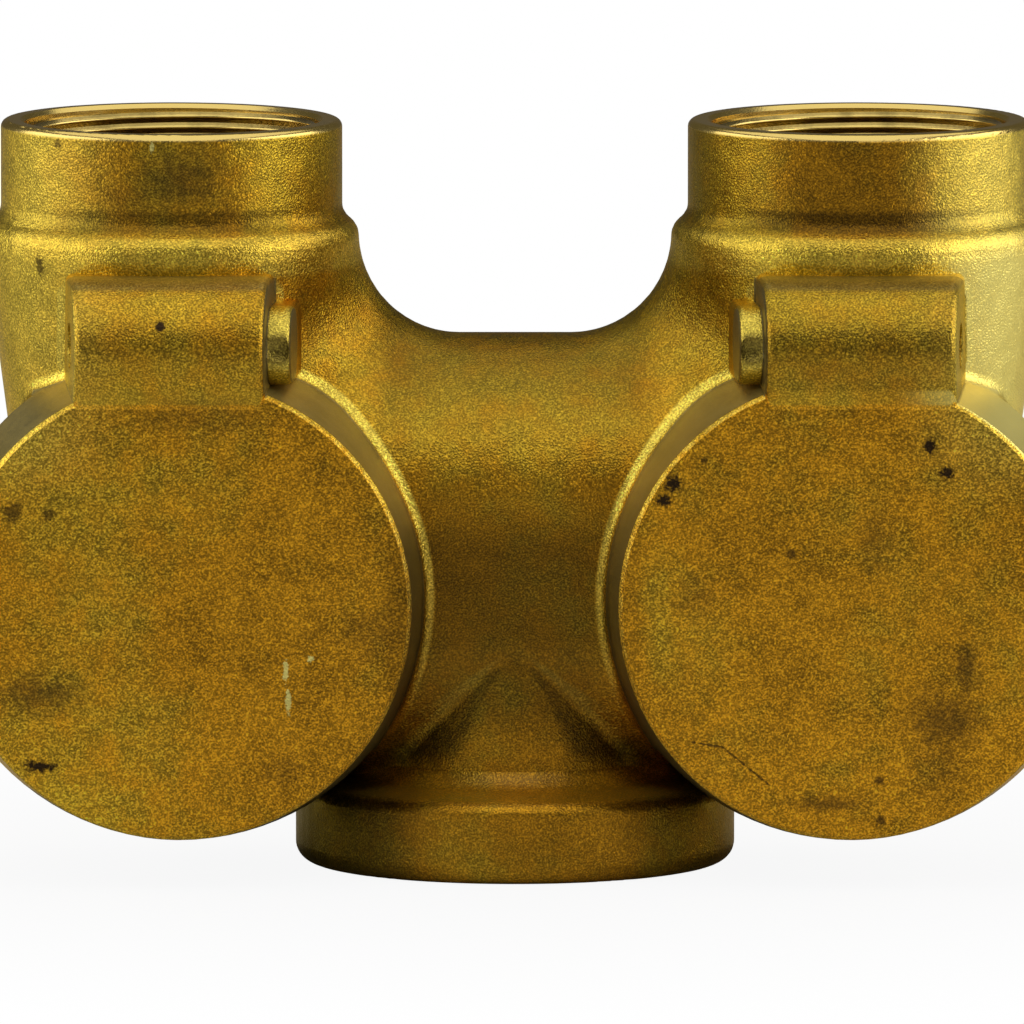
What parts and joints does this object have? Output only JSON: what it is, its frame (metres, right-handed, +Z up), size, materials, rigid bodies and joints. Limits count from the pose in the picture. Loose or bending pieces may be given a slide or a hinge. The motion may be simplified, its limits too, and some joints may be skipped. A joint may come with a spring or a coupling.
{
  "type": "two-way fire inlet body",
  "caption": "Cast brass fire inlet body with paired threaded inlets above round clapper chambers, a cross tube and a threaded outlet ring; hinged rubber-faced clappers stop backflow.",
  "frame": {"origin": "centre of the outlet ring's bottom face, on which the body stands", "axes": "+Z up along the outlet's axis, X along the pair of inlets, -Y to the front with the round chamber faces"},
  "size_m": [0.3438, 0.145, 0.2207],
  "materials": {
    "cast_brass": "sand-cast, with machined threads",
    "clapper_brass": "cast",
    "plate_brass": "machined",
    "seal_rubber": "matt",
    "fastener_steel": "bright stainless",
    "pin_steel": "ground stainless"
  },
  "bodies": {
    "casting": {"body_casting": "cast_brass", "left_hinge_pin": "pin_steel", "right_hinge_pin": "pin_steel", "left_pin_plug": "plate_brass", "right_pin_plug": "plate_brass"},
    "left_flap": {"left_clapper": "clapper_brass", "left_clapper_seal": "seal_rubber", "left_seal_retainer": "plate_brass", "left_lock_washer": "fastener_steel", "left_retainer_screw": "fastener_steel"},
    "right_flap": {"right_clapper": "clapper_brass", "right_clapper_seal": "seal_rubber", "right_seal_retainer": "plate_brass", "right_lock_washer": "fastener_steel", "right_retainer_screw": "fastener_steel"}
  },
  "joints": [
    {"name": "left_clapper_hinge", "type": "hinge", "parent": "casting", "child": "left_flap", "pos_m": [-0.1016, -0.06, 0.15965], "axis": [1, 0, 0], "range_deg": [0, 90]},
    {"name": "right_clapper_hinge", "type": "hinge", "parent": "casting", "child": "right_flap", "pos_m": [0.1016, -0.06, 0.15965], "axis": [1, 0, 0], "range_deg": [0, 90]}
  ]
}
